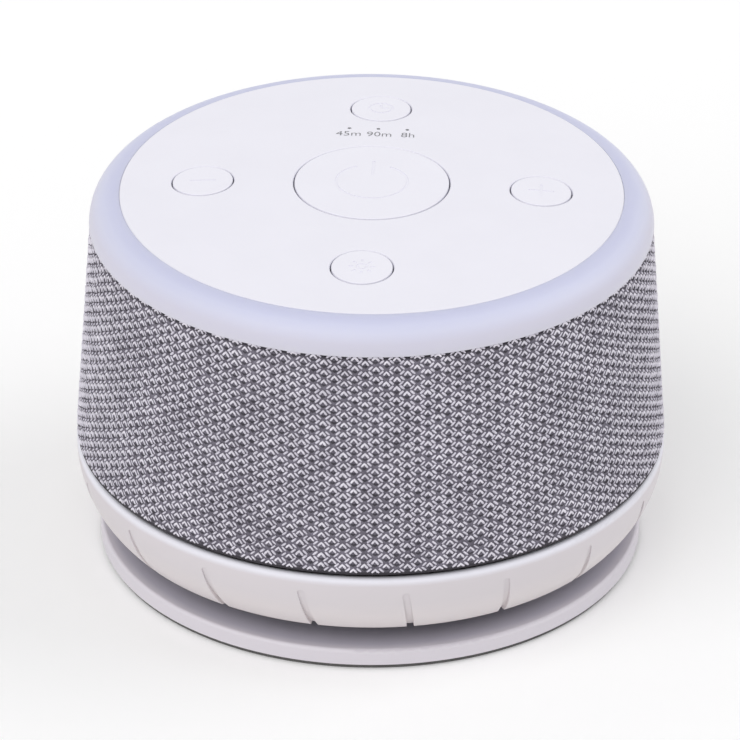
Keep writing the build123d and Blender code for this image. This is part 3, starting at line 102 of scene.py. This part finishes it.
class Finish:
    """A node material under construction: a Principled shader and what feeds it."""

    def __init__(self, name):
        self.material = bpy.data.materials.new(name)
        self.material.use_nodes = True
        self.tree = self.material.node_tree
        self.shader = self.tree.nodes["Principled BSDF"]
        self.place = self.node("ShaderNodeTexCoord").outputs["Object"]

    def node(self, kind, **settings):
        made = self.tree.nodes.new(kind)
        for key, value in settings.items():
            setattr(made, key, value)
        return made

    def link(self, source, target):
        self.tree.links.new(source, target)

    def stretched(self, x, y, z):
        """The place, scaled by axis, for grain that runs one way."""
        mapping = self.node("ShaderNodeMapping")
        self.link(self.place, mapping.inputs["Vector"])
        mapping.inputs["Scale"].default_value = (x, y, z)
        return mapping.outputs["Vector"]

    def noise(self, size, detail=2.0, roughness=0.5, place=None):
        """Noise whose blobs are about size across."""
        made = self.node("ShaderNodeTexNoise")
        made.inputs["Scale"].default_value = 1 / (size * mm)
        made.inputs["Detail"].default_value = detail
        made.inputs["Roughness"].default_value = roughness
        self.link(place or self.place, made.inputs["Vector"])
        return made.outputs["Fac"]

    def cells(self, size):
        """Distance pattern of small cells about size across."""
        made = self.node("ShaderNodeTexVoronoi")
        made.inputs["Scale"].default_value = 1 / (size * mm)
        self.link(self.place, made.inputs["Vector"])
        return made.outputs["Distance"]

    def spread(self, source, low=0.0, high=1.0, middle=noise_middle):
        """The source's middle range, stretched over low to high."""
        made = self.node("ShaderNodeMapRange")
        made.inputs["From Min"].default_value = middle[0]
        made.inputs["From Max"].default_value = middle[1]
        made.inputs["To Min"].default_value = low
        made.inputs["To Max"].default_value = high
        self.link(source, made.inputs["Value"])
        return made.outputs["Result"]

    def sum(self, a, b, share):
        """a plus share times b."""
        made = self.node("ShaderNodeMath", operation="MULTIPLY_ADD")
        self.link(b, made.inputs[0])
        made.inputs[1].default_value = share
        self.link(a, made.inputs[2])
        return made.outputs[0]

    def height(self):
        """The place's height."""
        split = self.node("ShaderNodeSeparateXYZ")
        self.link(self.place, split.inputs[0])
        made = self.node("ShaderNodeMath", operation="DIVIDE")
        self.link(split.outputs["Z"], made.inputs[0])
        made.inputs[1].default_value = mm
        return made.outputs[0]

    def reach(self):
        """The place's distance from the object's axis."""
        flat = self.node("ShaderNodeVectorMath", operation="MULTIPLY")
        self.link(self.place, flat.inputs[0])
        flat.inputs[1].default_value = (1 / mm, 1 / mm, 0)
        made = self.node("ShaderNodeVectorMath", operation="LENGTH")
        self.link(flat.outputs[0], made.inputs[0])
        return made.outputs["Value"]

    def ramp(self, source, stops):
        """Colour that runs smoothly through (value, colour) stops with the source."""
        low, high = stops[0][0], stops[-1][0]
        place = self.spread(source, middle=(low, high))
        made = self.node("ShaderNodeValToRGB")
        elements = made.color_ramp.elements
        elements[0].position, elements[0].color = 0.0, linear(*stops[0][1])
        elements[1].position, elements[1].color = 1.0, linear(*stops[-1][1])
        for value, colour in stops[1:-1]:
            elements.new((value - low) / (high - low)).color = linear(*colour)
        self.link(place, made.inputs["Fac"])
        return made.outputs["Color"]

    def mixed(self, source, first, second):
        """Colour that runs from first to second with the source; either may be an output."""
        made = self.node("ShaderNodeMix", data_type="RGBA")
        self.link(source, made.inputs["Factor"])
        for socket, colour in (("A", first), ("B", second)):
            if isinstance(colour, tuple):
                made.inputs[socket].default_value = linear(*colour)
            else:
                self.link(colour, made.inputs[socket])
        return made.outputs["Result"]

    def colour(self, source, first, second):
        """Base colour that runs from first to second with the source."""
        self.link(self.mixed(source, first, second), self.shader.inputs["Base Color"])

    def rough(self, source, low, high):
        """Roughness that runs from low to high with the source's middle range."""
        self.link(self.spread(source, low, high), self.shader.inputs["Roughness"])

    def bump(self, source, depth):
        """Relief of a depth."""
        made = self.node("ShaderNodeBump")
        made.inputs["Strength"].default_value = 1.0
        made.inputs["Distance"].default_value = depth * mm
        self.link(source, made.inputs["Height"])
        self.link(made.outputs["Normal"], self.shader.inputs["Normal"])

    def set(self, **values):
        """Uniform values on the shader's own sockets, and the material as the result."""
        for name, value in values.items():
            self.shader.inputs[name.replace("_", " ")].default_value = value
        return self.material


def running(measure, stops):
    """A first colour for moulded that runs through (height or reach, colour) stops, as the
    photograph's soft light makes it do."""

    def tint(made):
        place = made.sum(measure(made), made.noise(waver_size, detail=3.0), waver)
        return made.ramp(place, stops)

    return tint


def moulded(name, first, second, roughness, grain, depth):
    """Moulded plastic: a spark-eroded grain, faint flow marks and slightly uneven gloss. The
    first colour may be one that runs."""
    made = Finish(name)
    flow = made.noise(flow_size, detail=3.0, place=made.stretched(1, 1, flow_stretch))
    fine = made.noise(grain, detail=3.0, roughness=0.6)
    cloudy = made.spread(made.sum(flow, made.noise(mottle_size), mottle_share))
    if callable(first):
        tint = first(made)
        lifted = made.mixed(cloudy, tint, second)
        made.colour(made.spread(flow, 0.0, run_cloudiness), tint, lifted)
    else:
        made.colour(cloudy, first, second)
    made.rough(made.noise(gloss_size, detail=4.0), roughness - 0.04, roughness + 0.05)
    made.bump(made.sum(fine, made.cells(grain * pit_to_grain), pit_share), depth)
    return made.set(IOR=plastic_ior)


def plated(name, first, second, roughness, brushed):
    """Plated or turned metal with fine tool marks that run round or along it."""
    made = Finish(name)
    marks = made.noise(size=1.2, detail=4.0, place=made.stretched(*brushed))
    made.colour(made.spread(made.noise(size=3.0, detail=4.0)), first, second)
    made.rough(marks, roughness - 0.08, roughness + 0.1)
    made.bump(marks, depth=0.01)
    return made.set(Metallic=1.0)


def diffuser():
    """The light ring: frosted, slightly see-through lavender plastic. Its colour runs with
    height, with painted light: a painted highlight band midway up its shoulder and painted shade
    next to the top plate.
    """
    made = Finish("frosted_lavender_diffuser")
    climb = made.sum(made.height(), made.noise(size=18.0), share=0.6)
    # Painted light: bluer and lighter midway up the shoulder as a painted highlight, darker next
    # to the top plate as painted shade.
    tint = made.ramp(climb, (
        (ring_bottom, (209, 207, 220)),
        (ring_bottom + 3.3, (208, 206, 221)),
        (ring_bottom + 5.6, (210, 211, 230)),
        (ring_bottom + 6.9, (207, 209, 231)),
        (ring_bottom + 7.8, (199, 201, 226)),
    ))
    made.link(tint, made.shader.inputs["Base Color"])
    made.rough(made.noise(size=4.0, detail=3.0), low=0.42, high=0.5)
    made.bump(made.noise(size=0.25), depth=0.004)
    return made.set(
        Subsurface_Radius=(1.0, 1.0, 1.15),
        Subsurface_Weight=0.3,
        Subsurface_Scale=2.0 * mm,
        IOR=plastic_ior,
    )


def yarn(name, dark, light, thread, edge_shade=None):
    """Spun yarn: heathered colour, fine fibres and a soft sheen. Given an edge colour, it runs
    into that colour near the sleeve's bottom edge and its top edge: painted shade where the cloth
    turns in."""
    made = Finish(name)
    heather = made.noise(size=1.6, detail=4.0, roughness=0.65)
    patch = made.noise(size=9.0)
    fibres = made.noise(thread, detail=3.0, roughness=0.7)
    mixed = made.sum(made.sum(heather, patch, share=0.5), fibres, share=0.6)
    lit = made.spread(mixed, middle=heather_middle)
    if edge_shade:
        # Painted shade: the edge colour at the bottom edge and near the top edge, where the cloth
        # turns in.
        edge_shaded, unshaded = (0, 0, 0), (255, 255, 255)
        edge_shade_mask = made.ramp(made.height(), (
            (sleeve_bottom, edge_shaded),
            (sleeve_bottom + 0.6, edge_shaded),
            (sleeve_bottom + 1.3, unshaded),
            (sleeve_top - 1.2, unshaded),
            (sleeve_top - 0.5, edge_shaded),
        ))
        made.colour(edge_shade_mask, edge_shade, made.mixed(lit, dark, light))
    else:
        made.colour(lit, dark, light)
    made.rough(fibres, low=0.8, high=0.95)
    made.bump(fibres, depth=0.06)
    return made.set(
        Sheen_Tint=(1.0, 0.93, 0.9, 1.0),
        Sheen_Weight=0.04,
        Sheen_Roughness=0.5,
        Specular_IOR_Level=0.25,
    )


def rubber(name, first, second):
    """Matt elastomer with a fine bloom."""
    made = Finish(name)
    made.colour(made.spread(made.noise(size=2.5, detail=5.0)), first, second)
    made.rough(made.noise(size=0.8, detail=3.0), low=0.72, high=0.88)
    made.bump(made.noise(size=0.2, detail=3.0), depth=0.02)
    return made.set(Specular_IOR_Level=0.3)


def clear():
    """Clear moulded light pipe, a little smoky in its depth."""
    made = Finish("clear_light_pipe")
    made.colour(made.noise(size=1.0), (210, 212, 220), (224, 226, 232))
    made.rough(made.noise(size=0.6), low=0.12, high=0.22)
    made.bump(made.noise(size=0.5), depth=0.005)
    return made.set(Transmission_Weight=0.8, IOR=resin_ior)


def lamp_package():
    """LED package: pale yellow phosphor in a white case."""
    made = Finish("lamp_package")
    made.colour(made.spread(made.noise(size=0.9)), (236, 226, 170), (244, 240, 222))
    made.rough(made.noise(size=0.5), low=0.25, high=0.4)
    made.bump(made.noise(size=0.3), depth=0.01)
    return made.set(IOR=resin_ior)


def solder_mask():
    """Circuit board: green mask over faint tracks."""
    made = Finish("green_solder_mask")
    made.colour(made.spread(made.cells(size=3.5)), (18, 84, 48), (34, 112, 66))
    made.rough(made.noise(size=1.5), low=0.28, high=0.4)
    made.bump(made.cells(size=1.8), depth=0.02)
    return made.set(IOR=resin_ior)


# Painted light on the grip collar: lighter low on its face, darker midway, and a painted
# highlight, bluish white, at the lip's top.
collar_painted_light = running(Finish.height, (
    (11.6, (226, 219, 219)),
    (17.0, (222, 215, 216)),
    (22.0, (216, 210, 213)),
    (27.4, (214, 208, 212)),
    (28.9, (233, 232, 241)),
))
# Painted shade on the base plate's top in the gap under the collar, running lighter out to the
# rim.
base_painted_shade = running(Finish.reach, (
    (50.0, (198, 194, 207)),
    (66.2, (196, 192, 205)),
    (69.2, (217, 212, 219)),
))
shell = {"roughness": 0.42, "grain": 0.16, "depth": 0.012}

knit_stitch = yarn("light_knit_yarn", (201, 197, 209), (249, 245, 254), thread=0.12)
# The links' yarn is the stitches' yarn made slightly darker: painted shade.
knit_link_shaded = yarn("painted_shade_copy_knit_yarn", (194, 190, 203), (243, 239, 250), thread=0.12)
# The strands under each stitch's bend are painted shade in this charcoal colour.
knit_stitch_shade = yarn("painted_stitch_shade_yarn", (56, 54, 61), (88, 85, 93), thread=0.12)
# The backing's edge colour is painted shade where the cloth turns in at the top and bottom.
knit_back = yarn(
    "backing_cloth", (88, 84, 94), (132, 128, 141), thread=0.3, edge_shade=(60, 57, 64)
)
ink = moulded(
    "grey_label_ink", (112, 112, 116), (126, 126, 130), roughness=0.5, grain=0.1, depth=0.002
)

# By the record's material slots
finishes = {
    "white_plastic": moulded("white_moulded_shell", (217, 211, 214), (221, 215, 218), **shell),
    "button_plastic": moulded(
        "white_button_caps", (234, 233, 242), (236, 235, 244),
        roughness=0.34, grain=0.12, depth=0.006,
    ),
    "light_diffuser": diffuser(),
    "clear_plastic": clear(),
    "knit_fabric": knit_back,
    "foot_rubber": rubber("foot_rubber", (88, 87, 86), (100, 99, 98)),
    "grey_plastic": moulded(
        "dark_grey_inner_shell", (72, 72, 76), (84, 84, 88), roughness=0.55, grain=0.2, depth=0.02
    ),
    "black_plastic": moulded(
        "black_moulding", (26, 26, 28), (36, 36, 38), roughness=0.5, grain=0.18, depth=0.015
    ),
    "cream_plastic": moulded(
        "natural_nylon", (216, 208, 184), (226, 219, 198), roughness=0.45, grain=0.25, depth=0.01
    ),
    "steel": plated(
        "zinc_plated_steel", (178, 180, 184), (200, 201, 204), roughness=0.3, brushed=(1, 1, 6)
    ),
    "bronze": plated(
        "sintered_bronze", (168, 128, 78), (190, 148, 94), roughness=0.38, brushed=(1, 1, 4)
    ),
    "dark_iron": plated(
        "dark_iron", (84, 84, 88), (104, 104, 108), roughness=0.55, brushed=(1, 1, 8)
    ),
    "led_body": lamp_package(),
    "circuit_board": solder_mask(),
    "lead_jacket": rubber("black_lead_jacket", (28, 28, 30), (40, 40, 42)),
}

# By node, where one differs from its slot's finish
special_finishes = {
    "top_plate": moulded(
        "white_panel", (233, 232, 241), (235, 234, 243), roughness=0.38, grain=0.14, depth=0.008
    ),
    "tone_ring": moulded("white_grip_collar", collar_painted_light, (218, 212, 215), **shell),
    "base_plate": moulded("white_base_shell", base_painted_shade, (220, 215, 222), **shell),
}


def dress(obj, material):
    """Gives the object's material slots one finish."""
    if not obj.material_slots:
        obj.data.materials.append(material)
    for place in obj.material_slots:
        place.material = material


slot_of = {part["node"]: part["material_slot"] for part in frame["record"]["subparts"]}
for name, obj in nodes.items():
    dress(obj, special_finishes.get(name, finishes[slot_of[name]]))

# ------------------------------------------------------------------------------------------------
# Knitted sleeve: yarn strands for the stitches and the links between them, and dark strands that
# are painted shade under each stitch, over a dark backing cloth, in millimetres
# ------------------------------------------------------------------------------------------------

wales = 176                 # columns of stitches round the sleeve, an even number
course = 2.73               # from one stitch of a column to the next above it
wale_width = 2.6            # at which the strands below are drawn
first_course = 1.35         # from the bottom edge up to the first stitches
last_course = 1.2           # from the top edge up to where the stitches end, tucked in
tuck = 0.3                  # height at the top edge where the strands turn in
hem = 1.1                   # height at the bottom edge where they turn in
hem_slope = 0.5             # of the turn at the bottom edge
hem_fold = 0.6              # height of the folded edge that shows below the lowest strands
yarn_flatness = 0.52        # of a strand's depth to its width, pulled tight over the shell
backing_inset = 0.44        # from the sleeve's outside to the backing's outside
backing_thickness = 0.12
backing_dent = 0.05
backing_steps = 352         # round the sleeve
backing_rows = 44
stitch_sides = 5
thread_sides = 4            # of the links and the dark loops

# How unevenly the stitches are knitted
column_lean = 0.07
stitch_shift = 0.12
stitch_rise = 0.15
stitch_spread = 0.1         # of its width
stitch_thickness = 0.15     # of its yarn's
stitch_sink = 0.08
knit_seed = 11
backing_seed = 5

# A strand is a row of (across, up, depth, radius) in one stitch's own frame,
# with the top of the stitch's bend as its origin
stitch = (
    (-0.78, -0.90, 0.28, 0.23),
    (-0.46, -0.46, 0.25, 0.30),
    (0.00, 0.02, 0.24, 0.34),
    (0.50, -0.50, 0.25, 0.32),
    (0.87, -1.02, 0.28, 0.24),
)
link_left = (
    (-1.86, -0.60, 0.30, 0.21),
    (-1.38, -0.16, 0.28, 0.29),
    (-0.84, 0.32, 0.30, 0.23),
)
link_right = tuple((-across, up, depth, radius) for across, up, depth, radius in link_left)
# Strands in each hole under the stitch's bend: painted shade, drawn in the charcoal colour.
stitch_shade_loop = (
    (-0.58, -1.34, 0.42, 0.18),
    (0.00, -1.62, 0.40, 0.34),
    (0.58, -1.34, 0.42, 0.18),
)


def on_sleeve(across, up, depth):
    """Point of the sleeve, from the arc length from the front, the height and the depth under
    its outside."""
    over = max((sleeve_bottom + hem - up) * hem_slope, up - sleeve_top + tuck, 0.0)
    height = min(max(up, sleeve_bottom + hem_fold), sleeve_top - tuck / 2)
    radius = sleeve_radius(height) - min(depth + over, backing_inset)
    angle = across / (wales * wale_width / (2 * math.pi)) - math.pi / 2
    return Vector((radius * math.cos(angle), radius * math.sin(angle), height)) * mm


def strand(verts, faces, points, sides):
    """Adds a flattened tube through (across, up, depth, radius) points, with a face on each
    end."""
    first = len(verts)
    centres = [on_sleeve(*point[:3]) for point in points]
    for number, centre in enumerate(centres):
        before = centres[max(number - 1, 0)]
        after = centres[min(number + 1, len(centres) - 1)]
        along = (after - before).normalized()
        out = Vector((centre.x, centre.y, 0)).normalized()
        side = along.cross(out).normalized()
        up = side.cross(along)
        for corner in range(sides):
            turn = 2 * math.pi * corner / sides
            across = side * math.cos(turn) + up * math.sin(turn) * yarn_flatness
            verts.append(centre + across * points[number][3] * mm)
    for number in range(len(points) - 1):
        for corner in range(sides):
            a = first + number * sides + corner
            b = first + number * sides + (corner + 1) % sides
            faces.append((a, b, b + sides, a + sides))
    faces.append(tuple(first + corner for corner in range(sides - 1, -1, -1)))
    faces.append(tuple(first + (len(points) - 1) * sides + corner for corner in range(sides)))


def mesh_object(name, verts, faces, material, smooth=True):
    """A new object at the origin from vertices and faces in metres."""
    mesh = bpy.data.meshes.new(name)
    mesh.from_pydata([tuple(v) for v in verts], [], faces)
    mesh.polygons.foreach_set("use_smooth", [smooth] * len(mesh.polygons))
    mesh.validate()
    made = bpy.data.objects.new(name, mesh)
    bpy.context.scene.collection.objects.link(made)
    dress(made, material)
    return made


def knit():
    """The sleeve's strands, staggered by half from column to column: the bright bends of the
    stitches, the links between them in a slightly darker copy of the stitches' yarn as painted
    shade, and dark strands in the holes as painted shade under each stitch."""
    dice = random.Random(knit_seed)
    bright, dim, dark = ([], []), ([], []), ([], [])
    shapes = (
        (stitch, bright, stitch_sides),
        (link_left, dim, thread_sides),
        (link_right, dim, thread_sides),
        (stitch_shade_loop, dark, thread_sides),
    )
    for column in range(wales):
        lean = dice.uniform(-column_lean, column_lean)
        height = sleeve_bottom + first_course + (column % 2) * course / 2
        while height < sleeve_top + last_course:
            shift = column * wale_width + lean + dice.uniform(-stitch_shift, stitch_shift)
            rise = height + dice.uniform(-stitch_rise, stitch_rise)
            spread = dice.uniform(1 - stitch_spread, 1 + stitch_spread)
            thick = dice.uniform(1 - stitch_thickness, 1 + stitch_thickness)
            sink = dice.uniform(0.0, stitch_sink)
            for shape, (verts, faces), sides in shapes:
                points = [
                    (shift + across * spread, rise + up * spread, depth + sink, radius * thick)
                    for across, up, depth, radius in shape
                ]
                strand(verts, faces, points, sides)
            height += course
    stitches = mesh_object("sleeve_knit_stitches", *bright, knit_stitch)
    links = mesh_object("sleeve_knit_links", *dim, knit_link_shaded)
    loops = mesh_object("sleeve_knit_painted_shade_loops", *dark, knit_stitch_shade)
    return stitches, links, loops


def backing():
    """The dark cloth under the strands, a thin tapered tube with finely dented sides."""
    verts, faces = [], []
    dice = random.Random(backing_seed)
    for row in range(backing_rows + 1):
        height = sleeve_bottom + (sleeve_top - sleeve_bottom) * row / backing_rows
        for step in range(backing_steps):
            angle = 2 * math.pi * step / backing_steps
            radius = sleeve_radius(height) - backing_inset - dice.uniform(0.0, backing_dent)
            x, y = radius * math.cos(angle), radius * math.sin(angle)
            verts.append((x * mm, y * mm, height * mm))
    for row in range(backing_rows):
        for step in range(backing_steps):
            a = row * backing_steps + step
            b = row * backing_steps + (step + 1) % backing_steps
            faces.append((a, b, b + backing_steps, a + backing_steps))
    made = mesh_object("sleeve_backing", verts, faces, knit_back)
    solid = made.modifiers.new("thickness", "SOLIDIFY")
    solid.thickness = backing_thickness * mm
    solid.offset = -1
    return made


sleeve_cloth = backing()
strands = knit()
for piece in (sleeve_cloth, *strands):
    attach(piece, "root")
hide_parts("fabric_sleeve")

# ------------------------------------------------------------------------------------------------
# Printed timer labels, in millimetres
# ------------------------------------------------------------------------------------------------

label_size = 3.73           # of the letters, which gives capitals 2.7 high
label_line = 25.2           # y of the foot of the letters
label_thinning = 0.03       # of the letters' outlines
label_curve_steps = 4
ink_height = 0.03
labels = {                  # x of each label's middle, near its indicator
    "45m": -indicator_pitch,
    "90m": 0.4,
    "8h": indicator_pitch + 0.3,
}


def printed_labels():
    """One thin mesh of all the labels, laid on the dome."""
    verts, faces = [], []
    for text, across in labels.items():
        curve = bpy.data.curves.new("label", "FONT")
        curve.body = text
        curve.size = label_size
        curve.align_x = "CENTER"
        curve.resolution_u = label_curve_steps
        curve.offset = -label_thinning
        holder = bpy.data.objects.new("label", curve)
        bpy.context.scene.collection.objects.link(holder)
        flat = bpy.data.meshes.new_from_object(holder)
        first = len(verts)
        for vertex in flat.vertices:
            x, y = vertex.co.x + across, vertex.co.y + label_line
            verts.append((x * mm, y * mm, (dome_height(math.hypot(x, y)) + ink_height) * mm))
        faces += [tuple(first + index for index in face.vertices) for face in flat.polygons]
        bpy.data.objects.remove(holder)
    return mesh_object("timer_label_print", verts, faces, ink, smooth=False)


label_print = printed_labels()
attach(label_print, "root")

# ------------------------------------------------------------------------------------------------
# Floor, light and camera, in metres and degrees
# ------------------------------------------------------------------------------------------------

floor_half = 6.0            # half of its side
floor_lit_colour = (0.95, 0.95, 0.955, 1)
floor_glow = 0.05           # share of its own light where it is seen
white = (1, 1, 1, 1)
sky_level = 0.62

camera_azimuth = 3.122
camera_elevation = 29.478
camera_roll = 0.282
camera_distance = 1.5581
camera_pivot = Vector((0, 0, 0.05))
camera_target = Vector((-0.00012, -0.00175, 0.04692))
sensor_width = 36           # mm, as is the focal length
focal_length = 299.71
clip_near, clip_far = 0.1, 30


def towards(azimuth, elevation):
    """Direction from the object. Azimuth 0 is to the front, 90 to the right."""
    a, e = math.radians(azimuth), math.radians(elevation)
    return Vector((math.sin(a) * math.cos(e), -math.cos(a) * math.cos(e), math.sin(e)))


def seen_directly(tree):
    """1 for rays from the camera, in mirrors and through clear pieces, and 0 for light on the
    object."""
    path = tree.nodes.new("ShaderNodeLightPath")
    total = path.outputs["Is Camera Ray"]
    for other in ("Is Glossy Ray", "Is Transmission Ray"):
        larger = tree.nodes.new("ShaderNodeMath")
        larger.operation = "MAXIMUM"
        tree.links.new(total, larger.inputs[0])
        tree.links.new(path.outputs[other], larger.inputs[1])
        total = larger.outputs[0]
    return total


def floor():
    """A plain white floor that shows nearly pure white and keeps a soft shadow."""
    half = floor_half
    verts = [(-half, -half, 0), (half, -half, 0), (half, half, 0), (-half, half, 0)]
    material = bpy.data.materials.new("floor_paper")
    material.use_nodes = True
    tree = material.node_tree
    tree.nodes.remove(tree.nodes["Principled BSDF"])
    output = tree.nodes["Material Output"]
    lit = tree.nodes.new("ShaderNodeBsdfDiffuse")
    lit.inputs["Color"].default_value = floor_lit_colour
    shown_lit = tree.nodes.new("ShaderNodeBsdfDiffuse")
    shown_lit.inputs["Color"].default_value = white
    glow = tree.nodes.new("ShaderNodeEmission")
    glow.inputs["Strength"].default_value = 1.0
    shown = tree.nodes.new("ShaderNodeMixShader")
    shown.inputs["Fac"].default_value = floor_glow
    tree.links.new(shown_lit.outputs[0], shown.inputs[1])
    tree.links.new(glow.outputs[0], shown.inputs[2])
    both = tree.nodes.new("ShaderNodeMixShader")
    tree.links.new(seen_directly(tree), both.inputs["Fac"])
    tree.links.new(lit.outputs[0], both.inputs[1])
    tree.links.new(shown.outputs[0], both.inputs[2])
    tree.links.new(both.outputs[0], output.inputs["Surface"])
    made = mesh_object("floor", verts, [(0, 1, 2, 3)], material, smooth=False)


def sky():
    """Even white studio light from all round, seen as plain white."""
    world = bpy.data.worlds.new("studio")
    bpy.context.scene.world = world
    world.use_nodes = True
    tree = world.node_tree
    background = tree.nodes["Background"]
    background.inputs["Color"].default_value = white
    level = tree.nodes.new("ShaderNodeMapRange")
    level.inputs["To Min"].default_value = sky_level
    level.inputs["To Max"].default_value = 1.0
    tree.links.new(seen_directly(tree), level.inputs["Value"])
    tree.links.new(level.outputs["Result"], background.inputs["Strength"])


def sun(name, azimuth, elevation, spread, level, colour):
    """A soft far light. At level 1 it lights a white surface that faces it to plain white."""
    data = bpy.data.lights.new(name, "SUN")
    data.energy = level * math.pi
    data.angle = math.radians(spread)
    data.color = colour
    made = bpy.data.objects.new(name, data)
    bpy.context.scene.collection.objects.link(made)
    made.rotation_euler = towards(azimuth, elevation).to_track_quat("Z", "Y").to_euler()


def camera():
    """The photograph's viewpoint."""
    place = camera_pivot + towards(camera_azimuth, camera_elevation) * camera_distance
    ahead = (camera_target - place).normalized()
    right = ahead.cross(Vector((0, 0, 1))).normalized()
    up = right.cross(ahead)
    roll = math.radians(camera_roll)
    across = right * math.cos(roll) + up * math.sin(roll)
    above = up * math.cos(roll) - right * math.sin(roll)
    data = bpy.data.cameras.new("camera")
    data.sensor_width = sensor_width
    data.lens = focal_length
    data.clip_start = clip_near
    data.clip_end = clip_far
    made = bpy.data.objects.new("camera", data)
    bpy.context.scene.collection.objects.link(made)
    turn = Matrix((across, above, -ahead)).transposed().to_4x4()
    made.matrix_world = Matrix.Translation(place) @ turn
    bpy.context.scene.camera = made


floor()
sky()
sun("key", azimuth=-36, elevation=47, spread=60, level=0.36, colour=(1.0, 0.995, 0.99))
sun("fill", azimuth=100, elevation=38, spread=45, level=0.21, colour=(0.98, 0.985, 1.0))
camera()
bpy.context.scene.view_settings.view_transform = "Standard"
